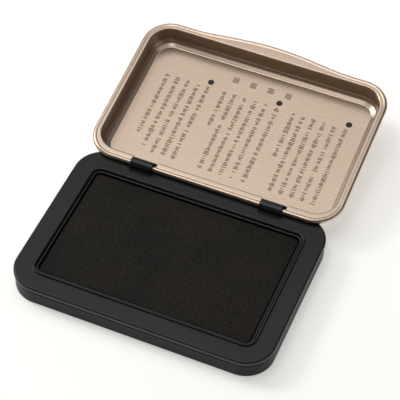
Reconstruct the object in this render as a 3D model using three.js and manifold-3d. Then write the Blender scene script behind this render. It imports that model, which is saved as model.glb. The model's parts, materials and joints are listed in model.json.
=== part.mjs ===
// An office ink pad: a black moulded base that holds an inked cloth pad, and a stamped metal lid
// that swings on two snap clips. The lid stands open, as it does in use.
//
// Millimetres, +Z up. The origin is the centre of the base's underside, +X runs along the long side,
// and +Y points to the hinge. Every piece is one closed solid in its own mesh.

import * as THREE from "three";
import { mergeVertices } from "three/addons/utils/BufferGeometryUtils.js";
import Module from "manifold-3d";

const wasm = await Module();
wasm.setup();

// ---------------------------------------------------------------- driving dimensions

const BASE_LENGTH = 132;
const BASE_DEPTH = 93.2;
const BASE_CORNER = 14.7;
const RIM_HEIGHT = 11.4; // table to the flat rim round the pad
const PART_LINE = 8.7; // height of the joint between the tray and the frame
const PART_GAP = 0.35;
const TRAY_INSET = 0.4; // the frame overhangs the tray by this much
const TRAY_WALL = 2.0;
const TRAY_FLOOR = 1.6;

const PAD_LENGTH = 107.2;
const PAD_DEPTH = 66.4;
const PAD_CENTRE_Y = -1.35; // the pad sits forward, because the hinge needs room behind it
const PAD_TOP = 10.3;
const PAD_CORNER = 2.4;
const PAD_CLEARANCE = 0.5; // pad to dish
const DISH_WALL = 0.9;
const DISH_TOP = 11.2;
const FIT = 0.3; // the small gap left wherever one piece drops into another
const LIP_WIDTH = 1.3;
const LIP_HEIGHT = 1.0; // lip above the flat rim

const LID_LENGTH = 133.9;
const LID_DEPTH = 89.6;
const LID_CORNER = 14.9;
const LID_SHIFT_X = 0.6; // side play, taken up to the right
const LID_WALL_HEIGHT = 10.8; // inside, rim to the ledge round the panel
const LID_SHEET = 0.5;
const RIM_WIDTH = 4.15; // flat rim and its rolled edge, at the front and sides
const HINGE_RIM_WIDTH = 5.2; // the same at the hinge
const BEAD = 2.8; // thickness of the rolled edge
const LID_FILLET = 3.4;
const PANEL_INSET = 3.6; // inside wall to the edge of the panel, which is pressed outwards
const PANEL_DROP = 0.3;
const TAB_REACH = 3.65; // thumb tab past the lid's front edge
const TAB_HALF_LENGTH = 42;

const LID_OPEN_TILT = 8.8; // degrees above flat when the lid's wall stops against the base
const HINGE_Y = 43.0;
const HINGE_Z = RIM_HEIGHT + BEAD / 2 + 0.15;

const CLIP_X = 34.4;
const CLIP_WIDTH = 11.7;
const CLIP_BORE = 1.65; // radius of the hook's inside
const CLIP_THICKNESS = 1.4;
const SLOT_WIDTH = 13.5;

// ---------------------------------------------------------------- finishes

const finishes = {
  blackPlastic: { color: 0x2e2f31, roughness: 0.55, metalness: 0 },
  clipPlastic: { color: 0x232426, roughness: 0.4, metalness: 0 },
  champagneMetal: { color: 0xc6ad98, roughness: 0.38, metalness: 1 },
  inkedCloth: { color: 0x231f1c, roughness: 0.95, metalness: 0 },
  felt: { color: 0x1c1a1a, roughness: 1, metalness: 0 },
};

// ---------------------------------------------------------------- shape helpers

// A closed three.js geometry as a solid that can be joined and cut.
function solid(geometry) {
  const bare = geometry.index ? geometry.toNonIndexed() : geometry.clone();
  bare.deleteAttribute("normal");
  bare.deleteAttribute("uv");
  const merged = mergeVertices(bare, 1e-4);
  return new wasm.Manifold(
    new wasm.Mesh({
      numProp: 3,
      vertProperties: merged.attributes.position.array,
      triVerts: new Uint32Array(merged.index.array),
    }),
  );
}

// A named mesh from a solid.
function piece(name, body, finish) {
  const mesh = body.getMesh();
  const positions = new Float32Array(mesh.numVert * 3);
  for (let i = 0; i < mesh.numVert; i++) {
    const start = i * mesh.numProp;
    positions.set(mesh.vertProperties.subarray(start, start + 3), i * 3);
  }
  const geometry = new THREE.BufferGeometry();
  geometry.setAttribute("position", new THREE.BufferAttribute(positions, 3));
  geometry.setIndex(new THREE.BufferAttribute(mesh.triVerts, 1));
  geometry.computeVertexNormals();
  const made = new THREE.Mesh(geometry, new THREE.MeshStandardMaterial(finish));
  made.name = name;
  return made;
}

// A rectangle with rounded corners, as edges: left, right, front (low y) and rear (high y).
function roundedOutline({ left, right, front, rear, radius }) {
  const shape = new THREE.Shape();
  shape.moveTo(left + radius, front);
  shape.lineTo(right - radius, front);
  shape.absarc(right - radius, front + radius, radius, -Math.PI / 2, 0);
  shape.lineTo(right, rear - radius);
  shape.absarc(right - radius, rear - radius, radius, 0, Math.PI / 2);
  shape.lineTo(left + radius, rear);
  shape.absarc(left + radius, rear - radius, radius, Math.PI / 2, Math.PI);
  shape.lineTo(left, front + radius);
  shape.absarc(left + radius, front + radius, radius, Math.PI, Math.PI * 1.5);
  return shape;
}

function centredEdges(length, depth, radius, centreY = 0) {
  return {
    left: -length / 2,
    right: length / 2,
    front: centreY - depth / 2,
    rear: centreY + depth / 2,
    radius,
  };
}

function inset(edges, by) {
  return {
    left: edges.left + by,
    right: edges.right - by,
    front: edges.front + by,
    rear: edges.rear - by,
    radius: Math.max(edges.radius - by, 0.4),
  };
}

// An outline raised from low to high with square edges.
function prism(shape, low, high, curveSegments = 7) {
  const geometry = new THREE.ExtrudeGeometry(shape, {
    depth: high - low,
    bevelEnabled: false,
    curveSegments,
  });
  geometry.translate(0, 0, low);
  return solid(geometry);
}

// The same with both rims rounded to the given radius, inside the outline.
function roundedPrism(shape, low, high, radius, bevelSegments = 3, curveSegments = 7) {
  const geometry = new THREE.ExtrudeGeometry(shape, {
    depth: high - low - 2 * radius,
    bevelEnabled: true,
    bevelThickness: radius,
    bevelSize: radius,
    bevelOffset: -radius,
    bevelSegments,
    curveSegments,
  });
  geometry.translate(0, 0, low + radius);
  return solid(geometry);
}

function box(x0, x1, y0, y1, z0, z1) {
  const geometry = new THREE.BoxGeometry(x1 - x0, y1 - y0, z1 - z0);
  geometry.translate((x0 + x1) / 2, (y0 + y1) / 2, (z0 + z1) / 2);
  return solid(geometry);
}

// Everything between two heights, wide enough for any piece here.
function slab(low, high) {
  return box(-100, 100, -150, 150, low, high);
}

// ---------------------------------------------------------------- base

const baseEdges = centredEdges(BASE_LENGTH, BASE_DEPTH, BASE_CORNER);
const padEdges = centredEdges(PAD_LENGTH, PAD_DEPTH, PAD_CORNER, PAD_CENTRE_Y);
const dishInside = inset(padEdges, -PAD_CLEARANCE);
const dishOutside = inset(dishInside, -DISH_WALL);
const windowEdges = inset(dishOutside, -FIT);

// The lower moulding: a shallow tray with a fence on its floor that keeps the dish in place.
function baseTray() {
  const outside = inset(baseEdges, TRAY_INSET);
  const top = PART_LINE - PART_GAP / 2;
  const edgeRadius = 0.8;
  const block = roundedPrism(roundedOutline(outside), 0, top + 3, edgeRadius);
  const hollow = prism(roundedOutline(inset(outside, TRAY_WALL)), TRAY_FLOOR, top + 5);
  const fence = prism(roundedOutline(inset(windowEdges, -1.2)), TRAY_FLOOR - 0.5, 6);
  const fenceHollow = prism(roundedOutline(windowEdges), TRAY_FLOOR, 8);
  return block.intersect(slab(-1, top)).subtract(hollow).add(fence.subtract(fenceHollow));
}

// Pockets through the frame's rear rim, where the clips' stems snap in.
const STEM_WIDTH = 9.6;
const STEM_FRONT = HINGE_Y - CLIP_BORE - CLIP_THICKNESS;
const STEM_REAR = HINGE_Y - CLIP_BORE;

function stemPocket(side) {
  const half = STEM_WIDTH / 2 + 0.25;
  const centre = side * CLIP_X;
  return box(centre - half, centre + half, STEM_FRONT - 0.25, STEM_REAR + 0.25, 5, RIM_HEIGHT + 1);
}

// The upper moulding: the flat rim, the lip round the pad window, and a skirt that drops into the tray.
function topFrame() {
  const low = PART_LINE + PART_GAP / 2;
  const edgeRadius = 0.9;
  const plate = roundedPrism(roundedOutline(baseEdges), low - 3, RIM_HEIGHT, edgeRadius);
  const lipTop = RIM_HEIGHT + LIP_HEIGHT;
  const lip = roundedPrism(roundedOutline(inset(windowEdges, -LIP_WIDTH)), low, lipTop, 0.3, 2);
  const skirtOutside = inset(baseEdges, TRAY_INSET + TRAY_WALL + FIT);
  const skirt = prism(roundedOutline(skirtOutside), low - 2.4, low + 0.5);
  const skirtHollow = prism(roundedOutline(inset(skirtOutside, 1.2)), low - 3, low);
  const window = prism(roundedOutline(windowEdges), low - 5, lipTop + 1);
  const body = plate
    .intersect(slab(low, RIM_HEIGHT))
    .add(lip)
    .add(skirt.subtract(skirtHollow))
    .subtract(window);
  return body.subtract(stemPocket(-1)).subtract(stemPocket(1));
}

// A snap clip: a hook that wraps the lid's rolled edge from the front over the top, on a stem.
function hingeClip(side) {
  const outer = CLIP_BORE + CLIP_THICKNESS;
  const rearEnd = -22 * (Math.PI / 180);
  const foot = RIM_HEIGHT - HINGE_Z + 0.1;
  const tail = PART_LINE - 0.4 - HINGE_Z;
  // Side view of the hook with the hinge line at the origin: first axis towards the rear, second up.
  const profile = new THREE.Shape();
  profile.moveTo(outer * Math.cos(rearEnd), outer * Math.sin(rearEnd));
  profile.absarc(0, 0, outer, rearEnd, Math.PI, false);
  profile.lineTo(-outer, foot + 0.7);
  profile.lineTo(-outer - 0.9, foot);
  profile.lineTo(-CLIP_BORE, foot);
  profile.lineTo(-CLIP_BORE, 0);
  profile.absarc(0, 0, CLIP_BORE, Math.PI, rearEnd, true);
  const geometry = new THREE.ExtrudeGeometry(profile, {
    depth: CLIP_WIDTH,
    bevelEnabled: false,
    curveSegments: 12,
  });
  // The profile is drawn in X and Y: turn it so that it runs along the hinge line.
  geometry.rotateX(Math.PI / 2);
  geometry.rotateZ(Math.PI / 2);
  geometry.translate(-CLIP_WIDTH / 2, 0, 0);
  const centre = side * CLIP_X;
  const hook = solid(geometry).translate([centre, HINGE_Y, HINGE_Z]);
  const half = STEM_WIDTH / 2;
  const stem = box(
    centre - half,
    centre + half,
    STEM_FRONT,
    STEM_REAR,
    HINGE_Z + tail,
    HINGE_Z + foot + 0.5,
  );
  const barb = box(
    centre - half,
    centre + half,
    STEM_FRONT - 0.5,
    STEM_REAR,
    HINGE_Z + tail,
    HINGE_Z + tail + 0.45,
  );
  return hook.add(stem).add(barb);
}

// ---------------------------------------------------------------- pad

// The inner dish that keeps the ink off the seam between tray and frame.
function padDish() {
  const low = TRAY_FLOOR + 0.15;
  const outside = prism(roundedOutline(dishOutside), low, DISH_TOP);
  return outside.subtract(prism(roundedOutline(dishInside), low + 1, DISH_TOP + 1));
}

// The soft core that stores the ink, flat in the dish.
function inkReservoir() {
  const low = TRAY_FLOOR + 0.15 + 1 + FIT;
  return prism(roundedOutline(inset(dishInside, FIT)), low, CLOTH_LOW - FIT);
}

const CLOTH_LOW = 6.7;
const CLOTH_THICKNESS = 0.5;

// The woven face, drawn down over the felt on all four sides.
function padCloth() {
  const outside = roundedPrism(roundedOutline(padEdges), CLOTH_LOW - 3, PAD_TOP, 0.6, 2);
  const inside = prism(
    roundedOutline(inset(padEdges, CLOTH_THICKNESS)),
    CLOTH_LOW - 5,
    PAD_TOP - CLOTH_THICKNESS,
  );
  return outside.intersect(slab(CLOTH_LOW, PAD_TOP)).subtract(inside);
}

function feltPad() {
  const edges = inset(padEdges, CLOTH_THICKNESS + FIT);
  return prism(roundedOutline(edges), CLOTH_LOW, PAD_TOP - CLOTH_THICKNESS - FIT);
}

// ---------------------------------------------------------------- lid

// The lid is drawn lying open and flat, with its hinge line on the X axis: +Y runs to the thumb tab,
// and the flat rim is its highest face.
const RIM_TOP = BEAD / 2;
const lidEdges = {
  left: -LID_LENGTH / 2,
  right: LID_LENGTH / 2,
  front: -BEAD / 2,
  rear: LID_DEPTH - BEAD / 2,
  radius: LID_CORNER,
};
const wallInside = {
  left: lidEdges.left + RIM_WIDTH,
  right: lidEdges.right - RIM_WIDTH,
  front: lidEdges.front + HINGE_RIM_WIDTH,
  rear: lidEdges.rear - RIM_WIDTH,
  radius: LID_CORNER - RIM_WIDTH,
};

// How far the thumb tab swells past the straight edge, at a place along it.
function tabReach(x) {
  const along = Math.min(Math.abs(x) / TAB_HALF_LENGTH, 1);
  return TAB_REACH * (1 - along * along) ** 1.75;
}

// The lid's outline with its thumb tab, moved inwards by the given amount.
function lidOutline(by, Kind = THREE.Shape) {
  const { left, right, front, rear, radius } = inset(lidEdges, by);
  const shape = new Kind();
  shape.moveTo(left + radius, front);
  shape.lineTo(right - radius, front);
  shape.absarc(right - radius, front + radius, radius, -Math.PI / 2, 0);
  shape.lineTo(right, rear - radius);
  shape.absarc(right - radius, rear - radius, radius, 0, Math.PI / 2);
  const steps = 20;
  for (let i = 0; i <= steps; i++) {
    const x = TAB_HALF_LENGTH * (1 - (2 * i) / steps);
    shape.lineTo(x, rear + tabReach(x));
  }
  shape.lineTo(left + radius, rear);
  shape.absarc(left + radius, rear - radius, radius, Math.PI / 2, Math.PI);
  shape.lineTo(left, front + radius);
  shape.absarc(left + radius, front + radius, radius, Math.PI, Math.PI * 1.5);
  return shape;
}

// The rolled edge: a rounded bar that follows the outline all the way round.
function rolledEdge() {
  const roundness = 1.05;
  const ring = lidOutline(roundness);
  ring.holes.push(lidOutline(BEAD - roundness, THREE.Path));
  const geometry = new THREE.ExtrudeGeometry(ring, {
    depth: BEAD - 2 * roundness,
    bevelEnabled: true,
    bevelThickness: roundness,
    bevelSize: roundness,
    bevelSegments: 3,
    curveSegments: 7,
  });
  geometry.translate(0, 0, -BEAD / 2 + roundness);
  return solid(geometry);
}

// One slot through the flat rim, where a clip reaches through; it bites into the wall's bend.
function rimSlot(side) {
  const half = SLOT_WIDTH / 2;
  const centre = side * CLIP_X;
  return box(centre - half, centre + half, 0, wallInside.front + 0.6, RIM_TOP - 1.25, RIM_TOP + 1);
}

function lidShell() {
  const ledge = RIM_TOP - LID_WALL_HEIGHT;
  const above = 8;
  const outside = roundedPrism(
    roundedOutline(inset(wallInside, -LID_SHEET)),
    ledge - LID_SHEET,
    RIM_TOP + above,
    LID_FILLET + LID_SHEET,
    4,
  ).intersect(slab(-40, RIM_TOP));
  const flange = prism(lidOutline(BEAD / 2), RIM_TOP - LID_SHEET, RIM_TOP);
  const hollow = roundedPrism(
    roundedOutline(wallInside),
    ledge,
    RIM_TOP + above + 1,
    LID_FILLET,
    4,
  );
  // The panel: the same step on both faces of the sheet.
  const panelOutline = roundedOutline(inset(wallInside, PANEL_INSET));
  const step = (top) => roundedPrism(panelOutline, top - PANEL_DROP, RIM_TOP - 1, PANEL_DROP, 1);
  const pressed = outside
    .add(flange)
    .add(step(ledge - LID_SHEET))
    .subtract(hollow)
    .subtract(step(ledge));
  return pressed.subtract(rimSlot(-1)).subtract(rimSlot(1)).add(rolledEdge());
}

// ---------------------------------------------------------------- assembly

const inkPad = new THREE.Group();
inkPad.add(piece("base_tray", baseTray(), finishes.blackPlastic));
inkPad.add(piece("top_frame", topFrame(), finishes.blackPlastic));
inkPad.add(piece("pad_dish", padDish(), finishes.blackPlastic));
inkPad.add(piece("ink_reservoir", inkReservoir(), finishes.felt));
inkPad.add(piece("felt_pad", feltPad(), finishes.felt));
inkPad.add(piece("pad_cloth", padCloth(), finishes.inkedCloth));
inkPad.add(piece("hinge_clip_left", hingeClip(-1), finishes.clipPlastic));
inkPad.add(piece("hinge_clip_right", hingeClip(1), finishes.clipPlastic));

const openLid = new THREE.Group();
openLid.position.set(LID_SHIFT_X, HINGE_Y, HINGE_Z);
openLid.rotation.x = THREE.MathUtils.degToRad(LID_OPEN_TILT);
openLid.add(piece("lid_shell", lidShell(), finishes.champagneMetal));
inkPad.add(openLid);

export default inkPad;
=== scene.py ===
"""The looks of an office ink pad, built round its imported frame.

A black moulded base holds an inked cloth pad. A pressed champagne metal lid stands open behind it,
with its rolled edge held by two snap clips. Lengths in the classes are millimetres, and each mesh
is made in metres in the frame's own axes: the origin under the base's centre, +Y to the hinge.
"""

import json
import logging
import math
import random
from dataclasses import dataclass
from enum import Enum
from typing import Any, Callable, Iterable, Sequence

import bpy
from mathutils import Matrix, Vector


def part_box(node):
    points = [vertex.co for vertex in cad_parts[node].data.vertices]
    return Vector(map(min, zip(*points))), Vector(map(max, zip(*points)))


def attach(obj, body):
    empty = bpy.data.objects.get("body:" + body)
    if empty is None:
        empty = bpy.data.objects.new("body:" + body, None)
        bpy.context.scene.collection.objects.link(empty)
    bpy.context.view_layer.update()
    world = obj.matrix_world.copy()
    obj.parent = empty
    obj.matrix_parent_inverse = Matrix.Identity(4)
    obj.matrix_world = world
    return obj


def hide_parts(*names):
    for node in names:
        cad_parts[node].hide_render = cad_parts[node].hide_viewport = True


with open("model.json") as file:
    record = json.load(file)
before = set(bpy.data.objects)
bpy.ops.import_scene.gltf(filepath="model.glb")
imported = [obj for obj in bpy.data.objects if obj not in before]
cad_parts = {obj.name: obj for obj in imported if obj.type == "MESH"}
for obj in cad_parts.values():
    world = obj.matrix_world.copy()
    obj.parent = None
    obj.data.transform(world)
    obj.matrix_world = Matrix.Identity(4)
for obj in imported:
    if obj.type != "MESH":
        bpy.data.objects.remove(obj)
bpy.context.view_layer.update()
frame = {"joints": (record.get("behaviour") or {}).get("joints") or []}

MM = 0.001
SLACK = 0.01  # millimetres, for comparing places
RIM_HEIGHT = 11.4  # top of the frame's flat rim
log = logging.getLogger("ink_pad")


# ---------------------------------------------------------------- colour and nodes


def linear(hex_colour: str) -> tuple[float, float, float, float]:
    """Turns an sRGB hex colour to the linear colour that a shader socket takes.

    Args:
        hex_colour: Six hex digits, such as "c6ad98".

    Returns:
        Linear red, green, blue and an alpha of 1.
    """
    values = [int(hex_colour[i : i + 2], 16) / 255 for i in (0, 2, 4)]
    red, green, blue = [v / 12.92 if v <= 0.04045 else ((v + 0.055) / 1.055) ** 2.4 for v in values]
    return red, green, blue, 1.0


def add_node(
    tree: bpy.types.NodeTree,
    kind: str,
    settings: dict[str, Any] | None = None,
    **inputs: Any,
) -> bpy.types.Node:
    """Adds one node and sets or links its inputs.

    Args:
        tree: The material's or world's node tree.
        kind: The node's type, without the leading "ShaderNode".
        settings: Attributes of the node, such as {"operation": "MULTIPLY"}.
        **inputs: An input's name with underscores for spaces, or i0, i1 for a place in the list,
            and a value or an output socket to link to it.

    Returns:
        The new node.
    """
    node = tree.nodes.new("ShaderNode" + kind)
    for key, value in (settings or {}).items():
        setattr(node, key, value)
    for key, value in inputs.items():
        socket = node.inputs[int(key[1:])] if key[1:].isdigit() else node.inputs[key.replace("_", " ")]
        if isinstance(value, bpy.types.NodeSocket):
            tree.links.new(value, socket)
        else:
            socket.default_value = value
    return node


def new_material(name: str) -> tuple[bpy.types.Material, bpy.types.NodeTree, bpy.types.Node]:
    """Makes an empty material with its output node.

    Args:
        name: What the real material is.

    Returns:
        The material, its node tree and its output node.
    """
    material = bpy.data.materials.new(name)
    material.use_nodes = True
    tree = material.node_tree
    tree.nodes.clear()
    return material, tree, add_node(tree, "OutputMaterial")


def per_metre(size_mm: float) -> float:
    """Gives a noise node's scale for a pattern of that real size, read from Object coordinates."""
    return 1.0 / (size_mm * MM)


def blend_colours(
    tree: bpy.types.NodeTree,
    pattern: bpy.types.NodeSocket,
    low: str,
    high: str,
    span: tuple[float, float],
) -> bpy.types.NodeSocket:
    """Mixes two hex colours by a pattern.

    Args:
        tree: The material's node tree.
        pattern: The pattern, from 0 to 1.
        low: The hex colour where the pattern is at the span's start or less.
        high: The hex colour where it is at the span's end or more.
        span: The pattern values between which the colour changes.

    Returns:
        The mixed colour's output socket.
    """
    share = add_node(tree, "MapRange", Value=pattern, From_Min=span[0], From_Max=span[1])
    mixed = add_node(
        tree,
        "Mix",
        {"data_type": "RGBA"},
        Factor=share.outputs["Result"],
        i6=linear(low),
        i7=linear(high),
    )
    return mixed.outputs[2]


# ---------------------------------------------------------------- finishes


@dataclass(frozen=True)
class MouldedPlastic:
    """Injection-moulded black ABS: a satin skin with the mould's fine spark-eroded grain."""

    name: str = "black_abs_moulded"
    colour: str = "161617"
    worn_colour: str = "1f1f21"
    roughness: float = 0.38
    specular: float = 0.38
    grain_mm: float = 0.55  # real spark grain is about 0.1 mm, drawn coarser so that it shows
    grain_depth_mm: float = 0.006
    cloud_mm: float = 22.0  # size of the faint duller patches
    cloud_span: tuple[float, float] = (0.35, 0.75)

    def make(self) -> bpy.types.Material:
        """Builds the material: grain in the bump, and a soft cloudiness in colour and gloss.

        Returns:
            The material.
        """
        material, tree, output = new_material(self.name)
        place = add_node(tree, "TexCoord").outputs["Object"]
        grain = add_node(tree, "TexNoise", Vector=place, Scale=per_metre(self.grain_mm), Detail=3.0)
        cloud = add_node(
            tree, "TexNoise", Vector=place, Scale=per_metre(self.cloud_mm), Detail=4.0
        ).outputs["Fac"]
        shader = add_node(
            tree,
            "BsdfPrincipled",
            Base_Color=blend_colours(tree, cloud, self.colour, self.worn_colour, self.cloud_span),
            Roughness=add_node(
                tree,
                "MapRange",
                Value=cloud,
                To_Min=self.roughness - 0.06,
                To_Max=self.roughness + 0.08,
            ).outputs["Result"],
            IOR=1.53,
            Specular_IOR_Level=self.specular,
            Normal=add_node(
                tree,
                "Bump",
                Strength=0.35,
                Distance=self.grain_depth_mm * MM,
                Height=grain.outputs["Fac"],
            ).outputs["Normal"],
        )
        tree.links.new(shader.outputs["BSDF"], output.inputs["Surface"])
        return material


@dataclass(frozen=True)
class ChampagneMetal:
    """Pressed sheet metal in champagne lacquer: satin, fine grained, with a thin clear skin."""

    name: str = "champagne_lacquered_sheet"
    light: str = "d6c3b0"
    dark: str = "c4ae9a"
    tone_span: tuple[float, float] = (0.3, 0.7)
    roughness: float = 0.29
    grain_width_mm: float = 0.35  # rolled grain is about 0.1 mm wide, drawn coarser so that it shows
    grain_length_mm: float = 28.0
    grain_depth_mm: float = 0.004
    speckle_mm: float = 0.9
    cloud_mm: float = 30.0
    tilt_deg: float = 0.0  # the sheet's tilt about X, which the grain follows

    def make(self) -> bpy.types.Material:
        """Builds the material: long fine streaks that vary its colour, gloss and height a little.

        Returns:
            The material.
        """
        material, tree, output = new_material(self.name)
        place = add_node(tree, "TexCoord").outputs["Object"]
        stretch = (
            per_metre(self.grain_length_mm),
            per_metre(self.grain_width_mm),
            per_metre(self.grain_width_mm),
        )
        flat = add_node(
            tree, "Mapping", Vector=place, Rotation=(math.radians(-self.tilt_deg), 0.0, 0.0)
        ).outputs["Vector"]
        along = add_node(tree, "Mapping", Vector=flat, Scale=stretch).outputs["Vector"]
        streak = add_node(tree, "TexNoise", Vector=along, Scale=1.0, Detail=4.0, Roughness=0.6)
        speckle = add_node(tree, "TexNoise", Vector=place, Scale=per_metre(self.speckle_mm), Detail=2.0)
        cloud = add_node(tree, "TexNoise", Vector=place, Scale=per_metre(self.cloud_mm), Detail=3.0)
        mottle = add_node(
            tree,
            "Mix",
            {"data_type": "FLOAT"},
            Factor=0.5,
            A=streak.outputs["Fac"],
            B=speckle.outputs["Fac"],
        ).outputs["Result"]
        shader = add_node(
            tree,
            "BsdfPrincipled",
            Base_Color=blend_colours(tree, mottle, self.dark, self.light, self.tone_span),
            Metallic=1.0,
            Roughness=add_node(
                tree,
                "MapRange",
                Value=cloud.outputs["Fac"],
                To_Min=self.roughness - 0.04,
                To_Max=self.roughness + 0.06,
            ).outputs["Result"],
            Coat_Weight=0.35,
            Coat_Roughness=0.18,
            Normal=add_node(
                tree,
                "Bump",
                Strength=0.25,
                Distance=self.grain_depth_mm * MM,
                Height=streak.outputs["Fac"],
            ).outputs["Normal"],
        )
        tree.links.new(shader.outputs["BSDF"], output.inputs["Surface"])
        return material


@dataclass(frozen=True)
class InkedWeave:
    """Cotton pad cloth soaked with black ink: a plain weave with a faint brown bloom."""

    name: str = "inked_cotton_weave"
    wet: str = "100e0c"
    dry: str = "2a2620"
    bloom_span: tuple[float, float] = (0.38, 0.64)
    thread_mm: float = 0.9  # real thread is about 0.3 mm, drawn coarser so that the weave shows
    thread_height_mm: float = 0.07
    damp_mm: float = 18.0
    lint_mm: float = 1.3
    lint_share: float = 0.62  # how much of the bloom is lint, and not damp patches

    def make(self) -> bpy.types.Material:
        """Builds the material: crossed threads in the bump, and damp patches in the colour.

        Returns:
            The material.
        """
        material, tree, output = new_material(self.name)
        place = add_node(tree, "TexCoord").outputs["Object"]
        # A wave repeats each 2 pi / scale x 10, which the node's own factor of 20 makes pi / 10.
        scale = per_metre(self.thread_mm) * math.pi / 10
        across = add_node(tree, "TexWave", {"bands_direction": "X"}, Vector=place, Scale=scale)
        along = add_node(tree, "TexWave", {"bands_direction": "Y"}, Vector=place, Scale=scale)
        weave = add_node(
            tree, "Math", {"operation": "MULTIPLY"}, i0=across.outputs["Fac"], i1=along.outputs["Fac"]
        ).outputs["Value"]
        damp = add_node(
            tree, "TexNoise", Vector=place, Scale=per_metre(self.damp_mm), Detail=5.0
        ).outputs["Fac"]
        lint = add_node(
            tree, "TexNoise", Vector=place, Scale=per_metre(self.lint_mm), Detail=3.0
        ).outputs["Fac"]
        patches = add_node(
            tree, "Mix", {"data_type": "FLOAT"}, Factor=self.lint_share, A=damp, B=lint
        ).outputs["Result"]
        height = add_node(tree, "Math", {"operation": "ADD"}, i0=weave, i1=lint).outputs["Value"]
        shader = add_node(
            tree,
            "BsdfPrincipled",
            Base_Color=blend_colours(tree, patches, self.wet, self.dry, self.bloom_span),
            Roughness=add_node(
                tree, "MapRange", Value=damp, To_Min=0.62, To_Max=0.85
            ).outputs["Result"],
            Specular_IOR_Level=0.2,
            Sheen_Weight=0.03,
            Sheen_Roughness=0.5,
            Normal=add_node(
                tree, "Bump", Strength=0.6, Distance=self.thread_height_mm * MM, Height=height
            ).outputs["Normal"],
        )
        tree.links.new(shader.outputs["BSDF"], output.inputs["Surface"])
        return material


@dataclass(frozen=True)
class InkedFelt:
    """Pressed wool felt full of ink: matte, nearly black, with matted fibres."""

    name: str = "inked_wool_felt"
    colour: str = "141211"
    fibre_colour: str = "221e1c"
    fibre_span: tuple[float, float] = (0.4, 0.7)
    fibre_mm: float = 0.7  # real fibre is about 0.03 mm thick, drawn coarser so that it shows
    fibre_height_mm: float = 0.15

    def make(self) -> bpy.types.Material:
        """Builds the material: tangled fibres in its colour and bump.

        Returns:
            The material.
        """
        material, tree, output = new_material(self.name)
        place = add_node(tree, "TexCoord").outputs["Object"]
        fibre = add_node(
            tree, "TexNoise", Vector=place, Scale=per_metre(self.fibre_mm), Detail=6.0, Distortion=1.5
        ).outputs["Fac"]
        shader = add_node(
            tree,
            "BsdfPrincipled",
            Base_Color=blend_colours(tree, fibre, self.colour, self.fibre_colour, self.fibre_span),
            Roughness=0.95,
            Sheen_Weight=0.2,
            Normal=add_node(
                tree, "Bump", Strength=0.8, Distance=self.fibre_height_mm * MM, Height=fibre
            ).outputs["Normal"],
        )
        tree.links.new(shader.outputs["BSDF"], output.inputs["Surface"])
        return material


@dataclass(frozen=True)
class PrintingInk:
    """Matte screen-printing ink: thin, so the metal warms it, with a patchy cover."""

    name: str
    colour: str
    thin_colour: str
    cover_mm: float = 0.8
    cover_span: tuple[float, float] = (0.4, 0.65)

    def make(self) -> bpy.types.Material:
        """Builds the material: ink that is thinner in some places.

        Returns:
            The material.
        """
        material, tree, output = new_material(self.name)
        place = add_node(tree, "TexCoord").outputs["Object"]
        cover = add_node(
            tree, "TexNoise", Vector=place, Scale=per_metre(self.cover_mm), Detail=2.0
        ).outputs["Fac"]
        shader = add_node(
            tree,
            "BsdfPrincipled",
            Base_Color=blend_colours(tree, cover, self.colour, self.thin_colour, self.cover_span),
            Roughness=0.6,
        )
        tree.links.new(shader.outputs["BSDF"], output.inputs["Surface"])
        return material


@dataclass(frozen=True)
class PaleFloor:
    """A plain off-white sweep of card."""

    name: str = "pale_card"
    colour: str = "fafaf8"
    glow: float = 0.44  # lifts the card towards white, and lights the part's sides a little

    def make(self) -> bpy.types.Material:
        """Builds the floor's plain matte material.

        Returns:
            The material.
        """
        material, tree, output = new_material(self.name)
        shader = add_node(
            tree,
            "BsdfPrincipled",
            Base_Color=linear(self.colour),
            Roughness=0.9,
            Emission_Color=linear(self.colour),
            Emission_Strength=self.glow,
        )
        tree.links.new(shader.outputs["BSDF"], output.inputs["Surface"])
        return material


# ---------------------------------------------------------------- the bench: modelling helpers


class Side(Enum):
    """A side of a ring, as its axis and its sign."""

    LEFT = (0, -1)
    RIGHT = (0, 1)
    FRONT = (1, -1)
    REAR = (1, 1)


@dataclass(frozen=True)
class Rectangle:
    """A rectangle with rounded corners, seen from above."""

    left: float
    right: float
    front: float
    rear: float
    radius: float

    @property
    def centre(self) -> tuple[float, float]:
        """The middle, in millimetres."""
        return (self.left + self.right) / 2, (self.front + self.rear) / 2

    @property
    def size(self) -> tuple[float, float]:
        """Length along X and depth along Y."""
        return self.right - self.left, self.rear - self.front

    def grown(self, by: float) -> "Rectangle":
        """Gives a rectangle that is larger all round."""
        sides = (self.left - by, self.right + by, self.front - by, self.rear + by)
        return Rectangle(*sides, self.radius + by)


@dataclass(frozen=True)
class Ring:
    """One ring of a section: how far in from the outline it lies, and its height."""

    inset: float
    height: float


@dataclass(frozen=True)
class Nudge:
    """A move of one side of the ring just made, along that side's axis."""

    side: Side
    by: float


@dataclass(frozen=True)
class Straighten:
    """Puts a side of the ring just made on one straight line again."""

    side: Side


@dataclass(frozen=True)
class Gather:
    """Draws each rounded corner of the ring just made together to one point."""


Section = Sequence[Ring | Nudge | Straighten | Gather]


def arc(inset: float, height: float, radius: float, start: float, end: float, steps: int) -> list[Ring]:
    """Lists rings round part of a circle in the section.

    Args:
        inset: The circle's centre, in from the outline.
        height: The centre's height.
        radius: The circle's radius.
        start: Degrees, where 180 is the side towards the outline and 90 is up. It isn't listed.
        end: Degrees of the last ring.
        steps: How many rings.

    Returns:
        The rings in order.
    """
    rings = []
    for i in range(1, steps + 1):
        angle = math.radians(start + (end - start) * i / steps)
        rings.append(Ring(inset + radius * math.cos(angle), height + radius * math.sin(angle)))
    return rings


def deselect_all() -> None:
    """Leaves object mode's selection empty, with edit mode closed."""
    if bpy.context.object and bpy.context.object.mode != "OBJECT":
        bpy.ops.object.mode_set(mode="OBJECT")
    bpy.ops.object.select_all(action="DESELECT")


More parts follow.
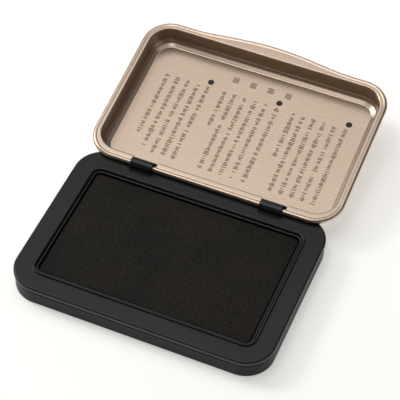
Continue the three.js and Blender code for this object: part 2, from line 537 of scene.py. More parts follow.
def select_only(*objects: bpy.types.Object) -> None:
    """Selects some objects and nothing else.

    Args:
        *objects: The objects, of which the first becomes the active one.
    """
    deselect_all()
    for obj in objects:
        obj.select_set(True)
    bpy.context.view_layer.objects.active = objects[0]


def apply_place(obj: bpy.types.Object) -> None:
    """Moves an object's place, turn and size into its mesh."""
    select_only(obj)
    bpy.ops.object.transform_apply(location=True, rotation=True, scale=True)


def apply_modifier(obj: bpy.types.Object, kind: str, **settings: Any) -> None:
    """Adds a modifier and applies it.

    Args:
        obj: The object.
        kind: The modifier's type, such as "BEVEL".
        **settings: The modifier's attributes.
    """
    select_only(obj)
    bpy.ops.object.modifier_add(type=kind)
    modifier = obj.modifiers[-1]
    for key, value in settings.items():
        setattr(modifier, key, value)
    bpy.ops.object.modifier_apply(modifier=modifier.name)


def pick(obj: bpy.types.Object, wanted: Callable[[Vector], bool]) -> None:
    """Selects vertices by their place, and stays in edit mode.

    Args:
        obj: The object that is being edited.
        wanted: Tells from a vertex's place, in millimetres, whether it is selected.
    """
    bpy.ops.mesh.select_all(action="DESELECT")
    bpy.ops.object.mode_set(mode="OBJECT")
    for vertex in obj.data.vertices:
        vertex.select = wanted(vertex.co / MM)
    bpy.ops.object.mode_set(mode="EDIT")
    bpy.ops.mesh.select_mode(type="VERT")


def selected_vertices(obj: bpy.types.Object) -> list[bpy.types.MeshVertex]:
    """Closes edit mode and gives the vertices that were selected."""
    bpy.ops.object.mode_set(mode="OBJECT")
    return [v for v in obj.data.vertices if v.select]


class SweptShell:
    """A closed shell whose section follows a rounded outline all the way round.

    It starts as a flat face with the outline's shape, which is inset again and again, each time to
    the section's next ring: once upwards for the top skin and once downwards for the underside.
    """

    MERGE = 0.002  # millimetres within which the two skins' edges are joined
    POINT = 0.0001  # millimetres within which a gathered corner is one point
    REAR_CUTS = 47  # cuts in a rear edge that swells

    def __init__(
        self,
        name: str,
        outline: Rectangle,
        start_height: float,
        corner_steps: int = 14,
        swell: Callable[[float], float] | None = None,
    ) -> None:
        """Keeps the outline.

        Args:
            name: The finished piece's name.
            outline: The widest outline of the piece.
            start_height: The height of that outline.
            corner_steps: Edges in each rounded corner.
            swell: Gives how far the rear edge stands out at x, where it isn't straight.
        """
        self.name = name
        self.outline = outline
        self.start_height = start_height
        self.corner_steps = corner_steps
        self.swell = swell

    def build(self, upper: Section, lower: Section, window: bool = False) -> bpy.types.Object:
        """Makes the shell.

        Args:
            upper: The section of the top skin, from the outline inwards.
            lower: The section of the underside, from the outline inwards.
            window: True if the two sections end on the same ring and leave a hole there.

        Returns:
            The finished object.
        """
        top = self._skin(upper, True, window)
        bottom = self._skin(lower, False, window)
        select_only(top, bottom)
        bpy.ops.object.join()
        bpy.ops.object.mode_set(mode="EDIT")
        bpy.ops.mesh.select_all(action="SELECT")
        bpy.ops.mesh.remove_doubles(threshold=self.MERGE * MM)
        bpy.ops.object.mode_set(mode="OBJECT")
        top.name = self.name
        top.data.name = self.name
        return top

    def _skin(self, section: Section, upwards: bool, window: bool) -> bpy.types.Object:
        """Lays the outline as one face and insets it ring by ring.

        Args:
            section: The section, from the outline inwards.
            upwards: True for the top skin, False for the underside.
            window: True if the last face is taken out.

        Returns:
            The skin, open along the outline.
        """
        (x, y), (length, depth) = self.outline.centre, self.outline.size
        deselect_all()
        bpy.ops.mesh.primitive_plane_add(size=1, location=(x * MM, y * MM, self.start_height * MM))
        skin = bpy.context.object
        skin.scale = (length * MM, depth * MM, 1)
        apply_place(skin)
        bpy.ops.object.mode_set(mode="EDIT")
        bpy.ops.mesh.select_all(action="SELECT")
        bpy.ops.mesh.bevel(
            offset=self.outline.radius * MM,
            offset_type="OFFSET",
            segments=self.corner_steps,
            affect="VERTICES",
            profile=0.5,
        )
        if self.swell:
            self._swell_rear(skin)
        bpy.ops.mesh.select_all(action="SELECT")
        if not upwards:
            bpy.ops.mesh.flip_normals()
        inset, height = 0.0, self.start_height
        for step in section:
            if isinstance(step, Nudge):
                self._nudge(skin, step)
            elif isinstance(step, Straighten):
                self._straighten(skin, step.side)
            elif isinstance(step, Gather):
                self._gather(skin)
            else:
                rise = (step.height - height) * (1 if upwards else -1)
                bpy.ops.mesh.inset(
                    thickness=max(step.inset - inset, 0.0) * MM,
                    depth=rise * MM,
                    use_even_offset=True,
                    use_boundary=True,
                )
                inset, height = step.inset, step.height
        if window:
            bpy.ops.mesh.delete(type="FACE")
        bpy.ops.object.mode_set(mode="OBJECT")
        return skin

    def _swell_rear(self, skin: bpy.types.Object) -> None:
        """Cuts the rear edge into short lengths and swells them out.

        Args:
            skin: The skin, which is still one flat face.
        """
        rear = self.outline.rear
        straight = self.outline.right - self.outline.radius
        pick(skin, lambda p: p.y > rear - SLACK and abs(p.x) < straight + SLACK)
        bpy.ops.mesh.select_mode(type="EDGE")
        bpy.ops.mesh.subdivide(number_cuts=self.REAR_CUTS)
        bpy.ops.object.mode_set(mode="OBJECT")
        for vertex in skin.data.vertices:
            if vertex.co.y / MM > rear - SLACK:
                vertex.co.y += self.swell(vertex.co.x / MM) * MM
        bpy.ops.object.mode_set(mode="EDIT")
        bpy.ops.mesh.select_mode(type="FACE")

    def _nudge(self, skin: bpy.types.Object, step: Nudge) -> None:
        """Moves one half of the selected face's vertices along the side's axis.

        Args:
            skin: The skin.
            step: The side and how far it moves.
        """
        axis, sign = step.side.value
        middle = self.outline.centre[axis] * MM
        for vertex in selected_vertices(skin):
            if (vertex.co[axis] - middle) * sign > 0:
                vertex.co[axis] += step.by * MM
        bpy.ops.object.mode_set(mode="EDIT")

    def _gather(self, skin: bpy.types.Object) -> None:
        """Merges each corner of the selected face, and selects the four-sided face that is left.

        Args:
            skin: The skin.
        """
        middle = self.outline.centre
        corners: dict[tuple[bool, bool], list[int]] = {}
        for vertex in selected_vertices(skin):
            key = (vertex.co.x / MM > middle[0], vertex.co.y / MM > middle[1])
            corners.setdefault(key, []).append(vertex.index)
        vertices = skin.data.vertices
        for corner in corners.values():
            place = sum((vertices[i].co for i in corner), Vector()) / len(corner)
            for i in corner:
                vertices[i].co = place
        bpy.ops.object.mode_set(mode="EDIT")
        bpy.ops.mesh.remove_doubles(threshold=self.POINT * MM)
        bpy.ops.mesh.select_mode(type="FACE")
        bpy.ops.mesh.select_all(action="DESELECT")
        bpy.ops.object.mode_set(mode="OBJECT")
        max(skin.data.polygons, key=lambda polygon: polygon.area).select = True
        bpy.ops.object.mode_set(mode="EDIT")

    def _straighten(self, skin: bpy.types.Object, side: Side) -> None:
        """Brings the swollen side of the selected face back onto the line of its ends.

        Args:
            skin: The skin.
            side: The side.
        """
        axis, sign = side.value
        other = 1 - axis
        level, middle = self.outline.centre[axis] * MM, self.outline.centre[other] * MM
        reach = (self.outline.size[other] / 2 - self.outline.radius + SLACK) * MM
        on_side = [
            vertex
            for vertex in selected_vertices(skin)
            if (vertex.co[axis] - level) * sign > 0 and abs(vertex.co[other] - middle) < reach
        ]
        line = max(on_side, key=lambda vertex: abs(vertex.co[other] - middle)).co[axis]
        for vertex in on_side:
            vertex.co[axis] = line
        bpy.ops.object.mode_set(mode="EDIT")


def finish_surface(obj: bpy.types.Object, angle_deg: float = 32.0) -> None:
    """Shades curved parts smooth and keeps flat faces flat.

    Args:
        obj: The finished piece.
        angle_deg: An edge that turns by more than this stays sharp.
    """
    select_only(obj)
    bpy.ops.object.shade_smooth_by_angle(angle=math.radians(angle_deg))
    apply_modifier(obj, "WEIGHTED_NORMAL", keep_sharp=True, weight=80)


def dress(
    obj: bpy.types.Object, material: bpy.types.Material, body: str, nodes: Iterable[str] = ()
) -> None:
    """Gives a finished piece its material, hangs it on the body that it moves with, and hides the CAD nodes
    that it replaces.

    Args:
        obj: The finished piece.
        material: Its material.
        body: The body that it moves with.
        nodes: The CAD nodes that it replaces.
    """
    obj.data.materials.clear()
    obj.data.materials.append(material)
    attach(obj, body)
    names = list(nodes)
    if names:
        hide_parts(*names)
    log.info("%s: %d faces, on %s", obj.name, len(obj.data.polygons), body)


def node_rectangle(node: str, radius: float) -> Rectangle:
    """Gives a CAD node's outline from above as a rectangle with that corner radius."""
    low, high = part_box(node)
    return Rectangle(low.x / MM, high.x / MM, low.y / MM, high.y / MM, radius)


def node_heights(node: str) -> tuple[float, float]:
    """Gives a CAD node's lowest and highest point in millimetres."""
    low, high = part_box(node)
    return low.z / MM, high.z / MM


# ---------------------------------------------------------------- base


@dataclass
class Base:
    """The black moulded base: a tray, the frame on it with the lip, and the dish inside."""

    corner: float = 14.7
    tray_corner: float = 14.3
    tray_edge: float = 0.8
    tray_wall: float = 2.0
    tray_floor: float = 1.6
    tray_fillet: float = 1.0
    tray_flat: float = 4.0  # the underside is flat from here inwards
    seam_depth: float = 0.75  # a groove runs round the tray under the frame
    seam_shoulder: float = 0.7  # this and the next two are taken down from the tray's top
    seam_low: float = 0.67
    seam_high: float = 0.05
    seam_chamfer: float = 0.1
    frame_low: float = 8.9
    frame_side: float = 0.6  # the frame is widest this far above its underside
    frame_chamfer: float = 0.12
    frame_edge: float = 0.95
    frame_flat: float = 0.4  # the rim is flat from this far past its rounded edge
    rim_width: float = 9.05
    rim_ease: float = 1.0  # the rim is cut to the lip's own outline this far before the lip
    side_rim_extra: float = 0.35
    rear_rim_extra: float = 2.7
    lip_width: float = 1.3
    lip_foot: float = 0.35
    lip_round: float = 0.3
    lip_fall: float = 0.9  # the lip's edge towards the pad is rounded more
    dish_corner: float = 3.8
    dish_wall: float = 0.9
    dish_floor: float = 1.0
    dish_edge: float = 0.5
    dish_flat: float = 3.0
    dish_reach: float = 0.24  # the dish's wall is drawn out to the lip, which closes the gap
    plastic: MouldedPlastic = MouldedPlastic()
    tray_plastic: MouldedPlastic = MouldedPlastic(
        name="black_abs_tray", colour="131314", worn_colour="1a1a1b", roughness=0.46, specular=0.2
    )

    def build(self) -> list[bpy.types.Object]:
        """Builds and dresses the three mouldings.

        Returns:
            The tray, the frame and the dish.
        """
        plastic, tray_plastic = self.plastic.make(), self.tray_plastic.make()
        made = [
            (self.tray(), "base_tray", tray_plastic),
            (self.top_frame(), "top_frame", plastic),
            (self.dish(), "pad_dish", plastic),
        ]
        for piece, node, material in made:
            finish_surface(piece)
            dress(piece, material, "base", [node])
        return [piece for piece, _, _ in made]

    def tray(self) -> bpy.types.Object:
        """Models the tray, open upwards.

        Returns:
            The tray.
        """
        low, high = node_heights("base_tray")
        edge, wall, fillet = self.tray_edge, self.tray_wall, self.tray_fillet
        shoulder, chamfer = high - self.seam_shoulder, self.seam_chamfer
        floor = self.tray_floor
        upper = [
            Ring(0, shoulder - chamfer),
            Ring(chamfer, shoulder),
            Ring(self.seam_depth, high - self.seam_low),
            Ring(self.seam_depth, high - self.seam_high),
            Ring(self.seam_depth + self.seam_high, high),
            Ring(wall, high),
            Ring(wall, floor + fillet),
            *arc(wall + fillet, floor + fillet, fillet, 180, 270, 4),
        ]
        lower = [*arc(edge, low + edge, edge, 180, 270, 5), Ring(self.tray_flat, low)]
        shell = SweptShell("tray_moulding", node_rectangle("base_tray", self.tray_corner), low + edge)
        return shell.build(upper, lower)

    def top_frame(self) -> bpy.types.Object:
        """Models the frame: a side with a rounded edge, the flat rim, and the lip round the window.

        Returns:
            The frame.
        """
        _, lip_top = node_heights("top_frame")
        top, low = RIM_HEIGHT, self.frame_low
        edge, rim, foot = self.frame_edge, self.rim_width, self.lip_foot
        lip_round, lip_fall = self.lip_round, self.lip_fall
        side_moves = [
            Nudge(Side.LEFT, self.side_rim_extra),
            Nudge(Side.RIGHT, -self.side_rim_extra),
            Nudge(Side.REAR, -self.rear_rim_extra),
        ]
        inner = rim + self.lip_width
        upper = [
            Ring(0, top - edge),
            *arc(edge, top - edge, edge, 180, 90, 6),
            Ring(edge + self.frame_flat, top),
            Ring(rim - self.rim_ease, top),
            *side_moves,
            Ring(rim - foot, top),
            *arc(rim - foot, top + foot, foot, 270, 360, 4),
            Ring(rim, lip_top - lip_round),
            *arc(rim + lip_round, lip_top - lip_round, lip_round, 180, 90, 5),
            *arc(inner - lip_fall, lip_top - lip_fall, lip_fall, 90, 0, 7),
            Ring(inner, low),
        ]
        lower = [
            Ring(0, low + self.frame_chamfer),
            Ring(self.frame_chamfer, low),
            Ring(rim - self.rim_ease, low),
            *side_moves,
            Ring(inner, low),
        ]
        outline = node_rectangle("top_frame", self.corner)
        return SweptShell("frame_moulding", outline, low + self.frame_side).build(upper, lower, window=True)

    def dish(self) -> bpy.types.Object:
        """Models the thin dish round the pad.

        Returns:
            The dish.
        """
        low, high = node_heights("pad_dish")
        half, reach, edge = self.dish_wall / 2, self.dish_reach, self.dish_edge
        upper = [
            Ring(0, high - half),
            *arc(half, high - half, half, 180, 90, 4),
            *arc(half + reach, high - half, half, 90, 0, 4),
            Ring(self.dish_wall + reach, low + self.dish_floor),
        ]
        lower = [*arc(edge, low + edge, edge, 180, 270, 4), Ring(self.dish_flat, low)]
        outline = node_rectangle("pad_dish", self.dish_corner).grown(reach)
        return SweptShell("dish_moulding", outline, low + edge, 10).build(upper, lower)


# ---------------------------------------------------------------- pad

# How the cloth's face rises: how far in from its rounded edge, and the share of the crown there.
CROWN_START = (0.6, 0.35)
CROWN = ((1.6, 0.6), (4.0, 0.8), (9.0, 0.93), (18.0, 1.0))


@dataclass
class Pad:
    """The inked pad: a cloth face drawn over felt, on a soft reservoir."""

    corner: float = 2.4
    edge: float = 0.75
    crown: float = 0.25
    fill: float = 0.95
    cloth_thickness: float = 0.5
    hem: float = 0.3  # the cloth is widest this far above its lower edge
    hem_edge: float = 0.2
    felt_corner: float = 1.8
    felt_edge: float = 0.4
    felt_flat: float = 1.2

    def build(self) -> list[bpy.types.Object]:
        """Builds and dresses the cloth, the felt and the reservoir.

        Returns:
            The three pieces.
        """
        cloth = self.cloth()
        finish_surface(cloth, angle_deg=60)
        dress(cloth, InkedWeave().make(), "base", ["pad_cloth"])
        felt_material = InkedFelt().make()
        made = [cloth]
        for name, node in (("felt_core", "felt_pad"), ("reservoir_core", "ink_reservoir")):
            piece = self.slab(name, node)
            finish_surface(piece)
            dress(piece, felt_material, "base", [node])
            made.append(piece)
        return made

    def cloth(self) -> bpy.types.Object:
        """Models the cloth face: rounded over its edges, and a little crowned by the felt.

        Returns:
            The cloth.
        """
        low, high = node_heights("pad_cloth")
        edge, thickness = self.edge, self.cloth_thickness
        start, *rest = [Ring(edge + inset, high + self.crown * rise) for inset, rise in (CROWN_START, *CROWN)]
        upper = [
            Ring(0, high - edge),
            *arc(edge, high - edge, edge, 180, 100, 6),
            start,
            Gather(),
            *rest,
        ]
        lower = [Ring(self.hem_edge, low), Ring(thickness, low), Ring(thickness, high - thickness)]
        outline = node_rectangle("pad_cloth", self.corner)
        return SweptShell("pad_face", outline, low + self.hem, 8).build(upper, lower)

    def slab(self, name: str, node: str) -> bpy.types.Object:
        """Models a felt slab with soft edges inside its CAD node.

        Args:
            name: The piece's name.
            node: The CAD node.

        Returns:
            The slab.
        """
        low, high = node_heights(node)
        edge = self.felt_edge
        upper = [
            Ring(0, high - edge),
            *arc(edge, high - edge, edge, 180, 90, 4),
            Ring(self.felt_flat, high),
        ]
        lower = [*arc(edge, low + edge, edge, 180, 270, 4), Ring(self.felt_flat, low)]
        return SweptShell(name, node_rectangle(node, self.felt_corner), low + edge, 8).build(upper, lower)


# ---------------------------------------------------------------- hinge


@dataclass(frozen=True)
class HingeLine:
    """Where the lid turns: a line along X."""

    y: float
    z: float

    @staticmethod
    def from_frame() -> "HingeLine":
        """Reads the line from the frame's joint."""
        joint = frame["joints"][0]["pos_m"]
        return HingeLine(joint[1] / MM, joint[2] / MM)


@dataclass
class Clips:
    """The two snap clips that the lid's rolled edge turns in."""

    hinge: HingeLine
    bore: float = 1.65
    thickness: float = 1.4
    rear_angle: float = -22.0
    spin_steps: int = 22
    edge: float = 0.22
    foot_reach: float = 0.9
    foot_height: float = 0.75
    foot_gap: float = 0.03  # the foot ends this far above the rim
    plastic: MouldedPlastic = MouldedPlastic(
        name="black_acetal_moulded",
        roughness=0.3,
        grain_mm=0.8,
        grain_depth_mm=0.003,
    )

    def build(self) -> list[bpy.types.Object]:
        """Builds both clips.

        Returns:
            The left and the right clip.
        """
        material = self.plastic.make()
        made = []
        for side in ("left", "right"):
            node = f"hinge_clip_{side}"
            clip = self.clip(f"snap_clip_{side}", node)
            finish_surface(clip, angle_deg=40)
            dress(clip, material, "base", [node])
            made.append(clip)
        return made

    def clip(self, name: str, node: str) -> bpy.types.Object:
        """Models one clip: a strip spun round the hinge line, and its leg down to the rim.

        Args:
            name: The piece's name.
            node: The CAD node, which gives the clip's place along X and its width.

        Returns:
            The clip.
        """
        low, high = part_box(node)
        centre = (low.x + high.x) / 2 / MM
        width = (high.x - low.x) / MM
        radius = self.bore + self.thickness / 2
        angle = math.radians(self.rear_angle)
        deselect_all()
        bpy.ops.mesh.primitive_plane_add(size=1)
        clip = bpy.context.object
        clip.scale = (width * MM, self.thickness * MM, 1)
        clip.rotation_euler = (angle, 0, 0)
        clip.location = (
            centre * MM,
            (self.hinge.y + radius * math.cos(angle)) * MM,
            (self.hinge.z + radius * math.sin(angle)) * MM,
        )
        apply_place(clip)
        bpy.ops.object.mode_set(mode="EDIT")
        bpy.ops.mesh.select_mode(type="FACE")
        bpy.ops.mesh.select_all(action="SELECT")
        bpy.ops.mesh.spin(
            steps=self.spin_steps,
            angle=-math.radians(180 - self.rear_angle),
            center=(centre * MM, self.hinge.y * MM, self.hinge.z * MM),
            axis=(1, 0, 0),
        )
        for level in (RIM_HEIGHT + self.foot_height, RIM_HEIGHT + self.foot_gap):
            heights = [v.co.z for v in selected_vertices(clip)]
            bpy.ops.object.mode_set(mode="EDIT")
            fall = level * MM - sum(heights) / len(heights)
            bpy.ops.mesh.extrude_region_move(TRANSFORM_OT_translate={"value": (0, 0, fall)})
        foot_top = RIM_HEIGHT + self.foot_gap + SLACK
        leg_front = self.hinge.y - self.bore - self.thickness + SLACK
        pick(clip, lambda p: p.z < foot_top and p.y < leg_front)
        bpy.ops.transform.translate(value=(0, -self.foot_reach * MM, 0))
        bpy.ops.mesh.select_all(action="SELECT")
        bpy.ops.mesh.remove_doubles(threshold=SweptShell.MERGE * MM)
        bpy.ops.mesh.normals_make_consistent(inside=False)
        bpy.ops.object.mode_set(mode="OBJECT")
        apply_modifier(
            clip,
            "BEVEL",
            width=self.edge * MM,
            segments=3,
            limit_method="ANGLE",
            angle_limit=math.radians(40),
        )
        clip.name = name
        clip.data.name = name
        return clip


# ---------------------------------------------------------------- what is printed in the lid


@dataclass(frozen=True)
class Mark:
    """One printed mark: its centre and size on the lid's panel, from the lid's hinge edge."""

    x: float
    y: float
    width: float
    height: float
    round_ends: bool = False


@dataclass(frozen=True)
class LidPrint:
    """A generic print: four blocks as a heading, three dots, and columns of plain dashes."""

    seed: int = 7
    top: float = 63.2
    full: float = 17.0  # where a full column ends
    pitch: float = 2.88
    dash_rows: tuple[float, ...] = (-0.8, 0.0, 0.8)
    dash_lengths: tuple[float, ...] = (1.5, 2.1, 2.6)
    dash_height: float = 0.42
    dash_share: float = 0.85
    dash_play: float = 0.2
    heading_x: float = -14.0
    heading_y: float = 73.2
    heading_blocks: int = 4
    heading_pitch: float = 9.7
    heading_rows: tuple[float, ...] = (-1.35, -0.45, 0.45, 1.35)
    heading_width: float = 3.4
    heading_height: float = 0.45
    dot_x: tuple[float, ...] = (-25.8, 12.3, 50.3)
    dot_y: float = 67.5
    dot_width: float = 3.3
    dot_steps: int = 28
    brown: PrintingInk = PrintingInk("brown_screen_ink", "46382f", "6a5647")
    black: PrintingInk = PrintingInk("black_screen_ink", "1c1917", "2c2622")

    def columns(self) -> list[tuple[float, float]]:
        """Gives each column's place along X, and where it ends."""
        return [
            (-48.8, 23.0),
            (-42.9, 18.0),
            *((x, self.full) for x in (-37.2, -31.5, -26.0)),
            (-16.6, 42.0),
            *((x, self.full) for x in (-11.2, -5.4, 0.3, 6.1, 12.5)),
            (21.6, 35.0),
            *((x, self.full) for x in (26.8, 32.5, 38.1, 43.8, 49.7)),
        ]

    def dashes(self) -> list[Mark]:
        """Lays out the columns of dashes and the heading's blocks.

        Returns:
            The marks.
        """
        dice = random.Random(self.seed)
        marks: list[Mark] = []
        for x, end in self.columns():
            y = self.top
            while y > end:
                for row in self.dash_rows:
                    length = dice.choice(self.dash_lengths)
                    if dice.random() < self.dash_share:
                        shift = dice.uniform(-self.dash_play, self.dash_play)
                        marks.append(Mark(x + shift, y + row, length, self.dash_height))
                y -= self.pitch
        for i in range(self.heading_blocks):
            x = self.heading_x + i * self.heading_pitch
            for row in self.heading_rows:
                marks.append(Mark(x, self.heading_y + row, self.heading_width, self.heading_height))
        return marks

    def dots(self) -> list[Mark]:
        """Lays out the three dots."""
        return [Mark(x, self.dot_y, self.dot_width, self.dot_width, round_ends=True) for x in self.dot_x]


# ---------------------------------------------------------------- lid

# The step round the panel: how far in from the slope's end, and the share of the step's height
# that is left there, on the sheet's inside and on its outside.
STEP_INSIDE = ((0.0, 1.0), (0.08, 0.9), (0.25, 0.4), (0.6, 0.03), (0.75, 0.0), (1.6, 0.0))
STEP_OUTSIDE = ((-0.15, 1.0), (0.2, 0.2), (0.5, 0.0), (1.6, 0.0))


@dataclass
class Lid:
    """The pressed metal lid. It is modelled flat, with its rim's top at height 0, then tilted open."""

    hinge: HingeLine
    length: float = 133.9
    depth: float = 89.6
    corner: float = 14.9
    shift_x: float = 0.6
    tilt_deg: float = 8.8
    bead: float = 1.4  # radius of the rolled edge
    bead_notch: tuple[float, float] = (0.05, 0.2)  # width and depth of the nick where the roll ends
    sheet: float = 0.5
    sheet_round: float = 0.15
    rim: float = 4.15
    hinge_rim_extra: float = 1.05
    rim_edge: float = 0.8
    rim_start: tuple[float, float] = (2.75, 3.0)  # the rim levels out between these
    rim_dip: float = 0.01  # the rim starts this much lower than it runs on
    rim_drop: float = 0.2  # the flat rim lies this far under the rolled edge's top
    crease_from: tuple[float, float] = (2.36, 2.48)  # the crease's floor lies between these
    crease: float = 0.27  # depth of the crease between the rolled edge and the flat rim
    wall: float = 7.16  # straight part of the wall ends at this depth
    fillet: float = 3.4
    slope_deg: float = 26.0  # the fillet runs out into a slope this steep
    slope_reach: float = 1.2
    step: float = 0.3  # the panel is pressed this far below the slope's end
    panel_depth: float = 11.1
    tab_reach: float = 3.65
    tab_half_length: float = 42.0
    tab_sharpness: float = 1.75
    slot_x: float = 34.4
    slot_width: float = 13.5
    slot_past_rim: float = 0.6
    slot_heights: tuple[float, float] = (-1.3, 1.0)
    roll_spare: float = 4.0  # the roll that guards the edge is this much longer than the slot
    roll_steps: int = 72
    lid_print: LidPrint = LidPrint()
    print_height: float = 0.03

    def build(self) -> list[bpy.types.Object]:
        """Builds the pressing and what is printed in it.

        Returns:
            The pressing and its print.
        """
        metal = ChampagneMetal(tilt_deg=self.tilt_deg).make()
        pressing = self.pressing()
        for side in (-1, 1):
            self.cut_slot(pressing, side)
        self.open(pressing)
        finish_surface(pressing)
        dress(pressing, metal, "lid", ["lid_shell"])
        made = [pressing]
        layout = (
            ("lid_print_dashes", self.lid_print.dashes(), self.lid_print.brown),
            ("lid_print_dots", self.lid_print.dots(), self.lid_print.black),
        )
        for name, marks, ink in layout:
            piece = self.print_marks(name, marks)
            self.open(piece)
            dress(piece, ink.make(), "lid")
            made.append(piece)
        return made

    def swell(self, x: float) -> float:
        """Gives how far the thumb tab stands out of the lid's front edge at x."""
        along = min(abs(x) / self.tab_half_length, 1.0)
        return self.tab_reach * (1 - along * along) ** self.tab_sharpness

    def pressing(self) -> bpy.types.Object:
        """Models the sheet: rolled edge, flat rim, deep wall, sloping fillet, and the lowered panel.

        Returns:
            The sheet.
        """
        outline = Rectangle(-self.length / 2, self.length / 2, 0, self.depth, self.corner)
        bead, sheet, rim, rim_drop = self.bead, self.sheet, self.rim, self.rim_drop
        panel, wall, turn = -self.panel_depth, -self.wall, 270 - self.slope_deg
        under, (notch_width, notch_depth) = self.sheet_round, self.bead_notch
        to_inner = [Straighten(Side.REAR), Nudge(Side.FRONT, self.hinge_rim_extra)]
        slope_start = rim + self.fillet * (1 - math.cos(math.radians(90 - self.slope_deg)))
        bend = slope_start + self.slope_reach
        upper = [
            *arc(bead, -bead, bead, 180, 56, 13),
            *[Ring(inset, -self.crease) for inset in self.crease_from],
            Ring(self.rim_start[0], -rim_drop - self.rim_dip),
            Ring(self.rim_start[1], -rim_drop),
            *to_inner,
            Ring(rim - self.rim_edge, -rim_drop),
            *arc(rim - self.rim_edge, -self.rim_edge - rim_drop, self.rim_edge, 90, 0, 6),
            Ring(rim, wall),
            *arc(rim + self.fillet, wall, self.fillet, 180, turn, 9),
            *[Ring(bend + inset, panel + self.step * share) for inset, share in STEP_INSIDE],
        ]
        lower = [
            *arc(bead, -bead, bead, 180, 345, 15),
            Ring(2 * bead, -sheet - notch_depth),
            Ring(2 * bead + notch_width, -sheet),
            *to_inner,
            Ring(rim - sheet - under, -sheet),
            Ring(rim - sheet, -sheet - under),
            Ring(rim - sheet, wall),
            *arc(rim + self.fillet, wall, self.fillet + sheet, 180, turn, 9),
            *[Ring(bend + inset, panel - sheet + self.step * share) for inset, share in STEP_OUTSIDE],
        ]
        return SweptShell("lid_pressing", outline, -bead, 18, self.swell).build(upper, lower)

    def cut_slot(self, pressing: bpy.types.Object, side: int) -> None:
        """Cuts one slot through the rim beside the rolled edge, which stays whole.

        Args:
            pressing: The lid's sheet.
            side: -1 for the left slot, 1 for the right one.
        """
        x = side * self.slot_x * MM
        inner = self.rim + self.hinge_rim_extra + self.slot_past_rim
        low, high = self.slot_heights
        deselect_all()
        bpy.ops.mesh.primitive_cube_add(size=1)
        cutter = bpy.context.object
        cutter.scale = (self.slot_width * MM, (inner - self.bead) * MM, (high - low) * MM)
        cutter.location = (x, (self.bead + inner) / 2 * MM, (low + high) / 2 * MM)
        apply_place(cutter)
        deselect_all()
        bpy.ops.mesh.primitive_cylinder_add(
            vertices=self.roll_steps,
            radius=self.bead * MM,
            depth=(self.slot_width + self.roll_spare) * MM,
            location=(x, self.bead * MM, -self.bead * MM),
            rotation=(0, math.pi / 2, 0),
        )
        roll = bpy.context.object
        apply_place(roll)
        apply_modifier(cutter, "BOOLEAN", operation="DIFFERENCE", object=roll, solver="EXACT")
        apply_modifier(pressing, "BOOLEAN", operation="DIFFERENCE", object=cutter, solver="EXACT")
        for tool in (roll, cutter):
            bpy.data.objects.remove(tool)

    def open(self, piece: bpy.types.Object) -> None:
        """Brings a piece modelled flat to the hinge and tilts it open.

        Args:
            piece: The piece.
        """
        piece.data.transform(Matrix.Translation((0, -self.bead * MM, self.bead * MM)))
        piece.rotation_euler = (math.radians(self.tilt_deg), 0, 0)
        piece.location = (self.shift_x * MM, self.hinge.y * MM, self.hinge.z * MM)
        apply_place(piece)

    def print_marks(self, name: str, marks: Sequence[Mark]) -> bpy.types.Object:
        """Makes thin raised marks on the panel from one modelled mark, copied to each place.

        Args:
            name: The piece's name.
            marks: The marks, all round or all square.

        Returns:
            The marks as one piece.
        """
        rounded = marks[0].round_ends
        deselect_all()
        bpy.ops.mesh.primitive_circle_add(
            vertices=self.lid_print.dot_steps if rounded else 4,
            radius=0.5 if rounded else math.sqrt(0.5),
            fill_type="NGON",
            calc_uvs=False,
            rotation=(0, 0, 0 if rounded else math.pi / 4),
        )
        stamp = bpy.context.object
        apply_place(stamp)
        copies = []
        for mark in marks:
            copy = bpy.data.objects.new(name, stamp.data.copy())
            size = Matrix.Diagonal((mark.width * MM, mark.height * MM, 1, 1))
            place = Matrix.Translation((mark.x * MM, mark.y * MM, -self.panel_depth * MM))
            copy.data.transform(place @ size)
            bpy.context.scene.collection.objects.link(copy)
            copies.append(copy)
        bpy.data.objects.remove(stamp)
        select_only(*copies)
        bpy.ops.object.join()
        piece = bpy.context.object
        apply_modifier(piece, "SOLIDIFY", thickness=self.print_height * MM, offset=1.0)
        piece.name = name
        piece.data.name = name
        return piece


# ---------------------------------------------------------------- studio


@dataclass(frozen=True)
class Softbox:
    """One rectangular area light, in metres and watts, that faces a point over the floor."""

    name: str
    place: tuple[float, float, float]
    width: float
    height: float
    power: float
    aim: tuple[float, float, float] = (0.0, 0.03, 0.0)

    def hang(self) -> None:
        """Adds the light to the scene."""
        data = bpy.data.lights.new(self.name, "AREA")
        data.shape = "RECTANGLE"
        data.size, data.size_y, data.energy = self.width, self.height, self.power
        light = bpy.data.objects.new(self.name, data)
        bpy.context.scene.collection.objects.link(light)
        light.location = self.place
        facing = Vector(self.aim) - Vector(self.place)
        light.rotation_euler = facing.to_track_quat("-Z", "Y").to_euler()


# A broad softbox and a strip overhead, a broad and a small one at the left, a weak one at the
# right, and a low wide one at the back.
SOFTBOXES = (
    Softbox("overhead", (-0.18, 0.24, 1.12), 1.15, 1.25, 4.1, (0.0, 0.06, 0.0)),
    Softbox("strip", (-0.25, -0.1, 1.2), 0.8, 0.2, 1.3, (0.0, 0.04, 0.0)),
    Softbox("left", (-1.1, 0.25, 0.9), 0.9, 0.9, 3.0),
    Softbox("key", (-0.98, 0.08, 0.76), 0.28, 0.28, 3.2),
    Softbox("right", (1.3, -0.1, 0.5), 0.8, 0.6, 0.5),
    Softbox("backdrop", (-0.3, 1.5, 0.4), 1.8, 0.6, 2.6, (0.0, 0.06, 0.0)),
)


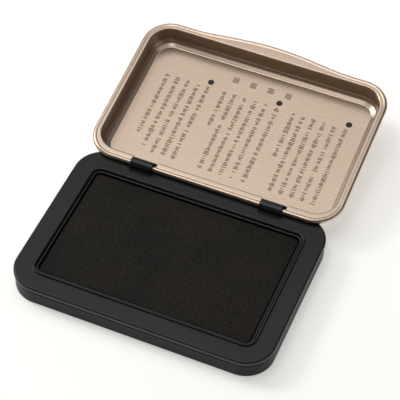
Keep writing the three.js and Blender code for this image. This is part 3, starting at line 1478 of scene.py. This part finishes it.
@dataclass
class Studio:
    """A pale floor, soft lights and the camera."""

    floor_size: float = 6000.0
    floor_drop: float = 0.05  # the floor lies this far under the base
    surround: str = "f7e9da"
    surround_strength: float = 0.11
    azimuth_deg: float = 22.1  # round to the right of the pad's front
    elevation_deg: float = 49.64
    roll_deg: float = 1.06
    distance: float = 786.3
    aim: tuple[float, float, float] = (-3.5, 44.0, 0.0)
    lens: float = 141.86
    sensor: float = 36.0

    def build(self) -> None:
        """Makes the floor, the lights, the world and the camera."""
        self.floor()
        self.world()
        for softbox in SOFTBOXES:
            softbox.hang()
        self.camera()
        bpy.context.scene.view_settings.view_transform = "Standard"

    def floor(self) -> None:
        """Lays the floor a hair under the base."""
        deselect_all()
        bpy.ops.mesh.primitive_plane_add(
            size=self.floor_size * MM, location=(0, 0, -self.floor_drop * MM)
        )
        floor = bpy.context.object
        floor.name = "floor"
        floor.data.materials.append(PaleFloor().make())
        apply_place(floor)

    def world(self) -> None:
        """Sets an even pale surround."""
        world = bpy.data.worlds.new("studio")
        bpy.context.scene.world = world
        world.use_nodes = True
        tree = world.node_tree
        tree.nodes.clear()
        shade = add_node(
            tree, "Background", Color=linear(self.surround), Strength=self.surround_strength
        )
        output = add_node(tree, "OutputWorld")
        tree.links.new(shade.outputs["Background"], output.inputs["Surface"])

    def camera(self) -> None:
        """Places the camera by its angle round the pad, its height angle and its roll."""
        azimuth, elevation = math.radians(self.azimuth_deg), math.radians(self.elevation_deg)
        back = Vector(
            (
                math.sin(azimuth) * math.cos(elevation),
                -math.cos(azimuth) * math.cos(elevation),
                math.sin(elevation),
            )
        )
        data = bpy.data.cameras.new("camera")
        data.sensor_width = self.sensor
        data.lens = self.lens
        data.clip_start = 0.05
        camera = bpy.data.objects.new("camera", data)
        bpy.context.scene.collection.objects.link(camera)
        roll = Matrix.Rotation(math.radians(self.roll_deg), 3, "Z")
        turn = back.to_track_quat("Z", "Y").to_matrix() @ roll
        place = (Vector(self.aim) + back * self.distance) * MM
        camera.matrix_world = Matrix.Translation(place) @ turn.to_4x4()
        bpy.context.scene.camera = camera


# ---------------------------------------------------------------- main


def main() -> None:
    """Builds the ink pad from the base up, then the studio."""
    logging.basicConfig(level=logging.INFO, format="%(name)s %(message)s")
    hinge = HingeLine.from_frame()
    for part in (Base(), Pad(), Clips(hinge), Lid(hinge)):
        pieces = part.build()
        log.info("%s: %s", type(part).__name__, ", ".join(piece.name for piece in pieces))
    Studio().build()


if __name__ == "__main__":
    main()
